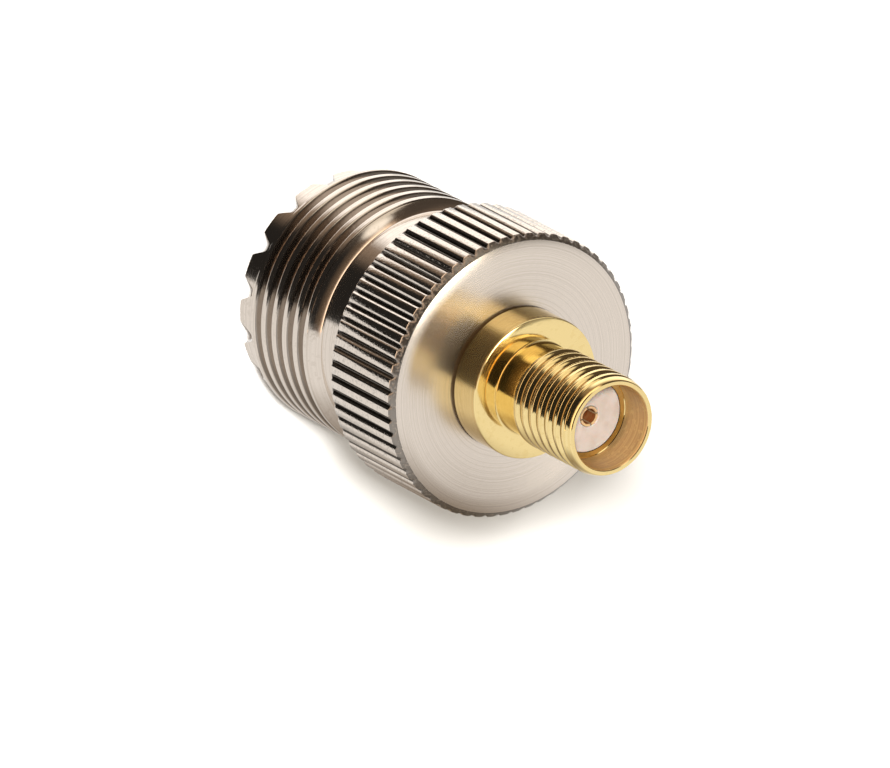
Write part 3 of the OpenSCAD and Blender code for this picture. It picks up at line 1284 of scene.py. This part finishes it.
@dataclass
class Studio:
    """White floor, soft key light, surroundings that the plating mirrors, and the camera.

    Attributes:
        target: Point of the adapter that the photograph's frame is measured from, in millimetres.
        pixels_per_mm: Scale of the picture at the target.
        target_pixel: Place of the target in the picture.
        focal_pixels: Focal length in pixels; long, so that the view is nearly parallel.
        elevation: Height of the view over the adapter's own horizon, in degrees.
        roll: Turn of the adapter's axis away from upright in the picture, in degrees.
        clip: Nearest and farthest distance that the camera sees, in metres.
        sky_up: Direction away from the mirrored table.
        table_drop: Distance from the adapter's axis to the table, in millimetres.
        table_light: Light of the table.
        table_shade: Light of the table where the adapter would lie on it.
        shade_along: Place of the shade along the axis, in millimetres.
        shade_aside: Place of the shade across the axis, in millimetres.
        shade_stretch: Width of the shade over its length.
        shade_reach: Half of the shade's width, in millimetres.
        shade_depth: Share of the light that the shade takes at its middle.
        horizon: Softness of the table's far edge.
        key_side: Direction of the key light.
    """

    target: tuple[float, float, float]
    image: tuple[int, int] = (890, 768)
    pixels_per_mm: float = 16.699
    target_pixel: tuple[float, float] = (513.3, 376.65)
    focal_pixels: float = 36000.0
    elevation: float = 49.57
    roll: float = -117.73
    sensor: float = 36.0
    clip: tuple[float, float] = (0.05, 20.0)
    floor_half: float = 1.5
    paper: Colour = (0.60, 0.585, 0.56)
    paper_roughness: float = 0.9
    sky_up: Direction = (-0.784, -0.615, 0.087)
    table_half: float = 0.4
    table_drop: float = 7.9
    table_light: Colour = (0.93, 0.91, 0.885)
    table_shade: Colour = (0.18, 0.125, 0.07)
    shade_along: float = 17.0
    shade_aside: float = -4.5
    shade_stretch: float = 0.45
    shade_reach: float = 11.5
    shade_depth: float = 0.92
    horizon: float = 0.10
    key_side: Direction = (-0.060, -0.643, 0.7635)
    key_power: float = 2.6
    key_size: float = 0.044
    key_distance: float = 0.3
    surroundings: Surroundings = Surroundings()

    def camera(self) -> None:
        """Makes the camera, which looks from the front and is rolled so that the adapter lies down."""
        tilt = math.radians(self.elevation)
        turn = math.radians(self.roll)
        back = Vector((0.0, -math.cos(tilt), math.sin(tilt)))
        level = Vector((1.0, 0.0, 0.0))
        upright = back.cross(level)
        right = level * math.cos(turn) - upright * math.sin(turn)
        up = level * math.sin(turn) + upright * math.cos(turn)
        aside = (self.image[0] / 2.0 - self.target_pixel[0]) / self.pixels_per_mm
        above = (self.target_pixel[1] - self.image[1] / 2.0) / self.pixels_per_mm
        distance = self.focal_pixels / self.pixels_per_mm
        place = Vector(self.target) + right * aside + up * above + back * distance
        lens = bpy.data.cameras.new("camera")
        lens.sensor_width = self.sensor
        lens.lens = self.focal_pixels * self.sensor / self.image[0]
        lens.clip_start, lens.clip_end = self.clip
        camera = new_object("camera", lens)
        matrix = Matrix((right, up, back)).transposed().to_4x4()
        matrix.translation = place * MM
        camera.matrix_world = matrix
        bpy.context.scene.camera = camera

    def square(self, name: str, middle: Vector, along: Vector, aside: Vector) -> bpy.types.Object:
        """Makes a flat square.

        Args:
            name: Name of the square.
            middle: Its middle, in metres.
            along: Half of its side in one direction.
            aside: Half of its side in the other direction.

        Returns:
            The square.
        """
        corners = [middle + along * a + aside * b for a, b in ((-1, -1), (1, -1), (1, 1), (-1, 1))]
        mesh = bpy.data.meshes.new(name)
        mesh.from_pydata([tuple(corner) for corner in corners], [], [(0, 1, 2, 3)])
        return new_object(name, mesh)

    def floor(self) -> None:
        """Makes the white floor under the tooth tips, which the plating doesn't mirror."""
        paper, graph = new_material("white_paper")
        graph.show(graph.add("ShaderNodeBsdfPrincipled", {
            "Base Color": opaque(self.paper),
            "Roughness": self.paper_roughness,
            "Specular IOR Level": 0.0,
        }))
        along = Vector((self.floor_half, 0.0, 0.0))
        aside = Vector((0.0, self.floor_half, 0.0))
        floor = self.square("floor", Vector(), along, aside)
        floor.data.materials.append(paper)
        floor.visible_glossy = False

    def table(self) -> None:
        """Makes the white table that only the plating mirrors, darker where the adapter would lie on it."""
        normal = Vector(self.sky_up).normalized()
        along = (Vector((0.0, 0.0, 1.0)) - normal * normal.z).normalized()
        aside = normal.cross(along)
        card, graph = new_material("mirrored_table")
        place = graph.millimetres()
        length = graph.math("SUBTRACT", graph.dot(place, tuple(along)), self.shade_along)
        width = graph.math("SUBTRACT", graph.dot(place, tuple(aside)), self.shade_aside)
        reach = graph.add("ShaderNodeCombineXYZ", {0: graph.product(length, self.shade_stretch), 1: width})
        distance = graph.length(reach.outputs[0])
        shade = graph.ramp(distance, self.shade_reach, 0.0, 0.0, self.shade_depth)
        graph.show(graph.add("ShaderNodeEmission", {
            "Color": graph.blend(shade, opaque(self.table_light), opaque(self.table_shade)),
            "Strength": 1.0,
        }))
        middle = -normal * self.table_drop * MM
        table = self.square("table", middle, along * self.table_half, aside * self.table_half)
        table.data.materials.append(card)
        table.visible_camera = False
        table.visible_diffuse = False
        table.visible_shadow = False
        table.visible_transmission = False

    def key(self) -> None:
        """Makes the soft key light beside the camera, which neither the camera nor the plating sees."""
        lamp = bpy.data.lights.new("key", "AREA")
        lamp.energy = self.key_power
        lamp.size = self.key_size
        key = new_object("key", lamp)
        toward = Vector(self.key_side).normalized()
        key.location = Vector(self.target) * MM + toward * self.key_distance
        key.rotation_euler = toward.to_track_quat("Z", "Y").to_euler()
        key.visible_camera = False
        key.visible_glossy = False

    def world(self) -> None:
        """Paints what the plating mirrors far away, and plain white behind the adapter."""
        world = bpy.data.worlds.new("studio")
        world.use_nodes = True
        graph = NodeGraph(world.node_tree)
        gaze = graph.add("ShaderNodeTexCoord", {}).outputs["Generated"]
        below = graph.ramp(graph.dot(gaze, self.sky_up), 0.0, -self.horizon)
        scene = graph.blend(below, self.surroundings.paint(graph, gaze), opaque(self.table_light))
        seen = graph.add("ShaderNodeLightPath", {}).outputs["Is Camera Ray"]
        colour = graph.blend(seen, scene, opaque(WHITE))
        backdrop = graph.add("ShaderNodeBackground", {"Color": colour, "Strength": 1.0})
        graph.add("ShaderNodeOutputWorld", {"Surface": backdrop.outputs[0]})
        bpy.context.scene.world = world

    def build(self) -> None:
        """Builds the whole set."""
        self.camera()
        self.floor()
        self.table()
        self.key()
        self.world()
        bpy.context.scene.view_settings.view_transform = "Standard"
        LOG.info("studio: camera, floor, table, key light and surroundings")


def box_mm(node: str) -> tuple[Array, Array]:
    """Gives the lowest and highest corner of a solid in millimetres."""
    low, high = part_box(node)
    return np.array(low) / MM, np.array(high) / MM


def mount_size(name: str, size: str) -> float:
    """Gives a size of one of the record's mounts in millimetres."""
    return next(m["dims"][size] for m in frame["record"]["mounts"] if m["name"] == name)


def main() -> None:
    """Builds the adapter piece by piece, then the studio."""
    logging.basicConfig(level=logging.INFO, format="%(name)s: %(message)s")
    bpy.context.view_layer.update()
    shell_high = box_mm("uhf_shell")[1]
    body_low, body_high = box_mm("sma_body")
    bush_low, bush_high = box_mm("uhf_insulator")
    rod_low, rod_high = box_mm("sma_insulator")
    socket_low, socket_high = box_mm("uhf_contact")
    pin_low, pin_high = box_mm("sma_contact")
    contact_gap = 0.02
    rod_step = 1.0
    pin_hole_r = pin_high[0] + contact_gap

    UhfShell(
        length=shell_high[2], collar_r=shell_high[0], thread_r=mount_size("uhf_thread", "r_mm"),
    ).build()
    SmaBody(
        seat=body_low[2], face=shell_high[2], top=body_high[2], flange_r=body_high[0],
        thread_r=mount_size("sma_thread", "r_mm"), bore_r=mount_size("sma_bore", "r_mm"),
    ).build()
    Bush(
        "uhf_bush", "uhf_insulator", radius=bush_high[0], bottom=bush_low[2], top=bush_high[2],
        hole_r=pin_hole_r, pocket_r=socket_high[0] + contact_gap, pocket_top=socket_high[2],
    ).build()
    Bush(
        "sma_rod", "sma_insulator", radius=rod_high[0], bottom=rod_low[2], top=rod_high[2],
        hole_r=pin_hole_r, pocket_r=pin_hole_r, pocket_top=rod_high[2] - rod_step,
    ).build()
    SocketContact(
        "uhf_socket_contact", "uhf_contact", radius=socket_high[0], bore_r=mount_size("uhf_socket", "r_mm"),
        mouth=socket_low[2], tail=socket_high[2], bore_depth=9.0, slot_w=0.4, slot_len=6.0, bevel=0.3,
        tail_hole_r=pin_hole_r, tail_hole_depth=1.1,
    ).build()
    SocketContact(
        "sma_socket_contact", "sma_contact", radius=pin_high[0], bore_r=mount_size("sma_socket", "r_mm"),
        mouth=pin_high[2], tail=pin_low[2], bore_depth=mount_size("sma_socket", "length_mm"),
        slot_w=0.14, slot_len=1.8, bevel=0.04,
    ).build()
    Studio(target=(0.0, 0.0, shell_high[2])).build()


if __name__ == "__main__":
    main()
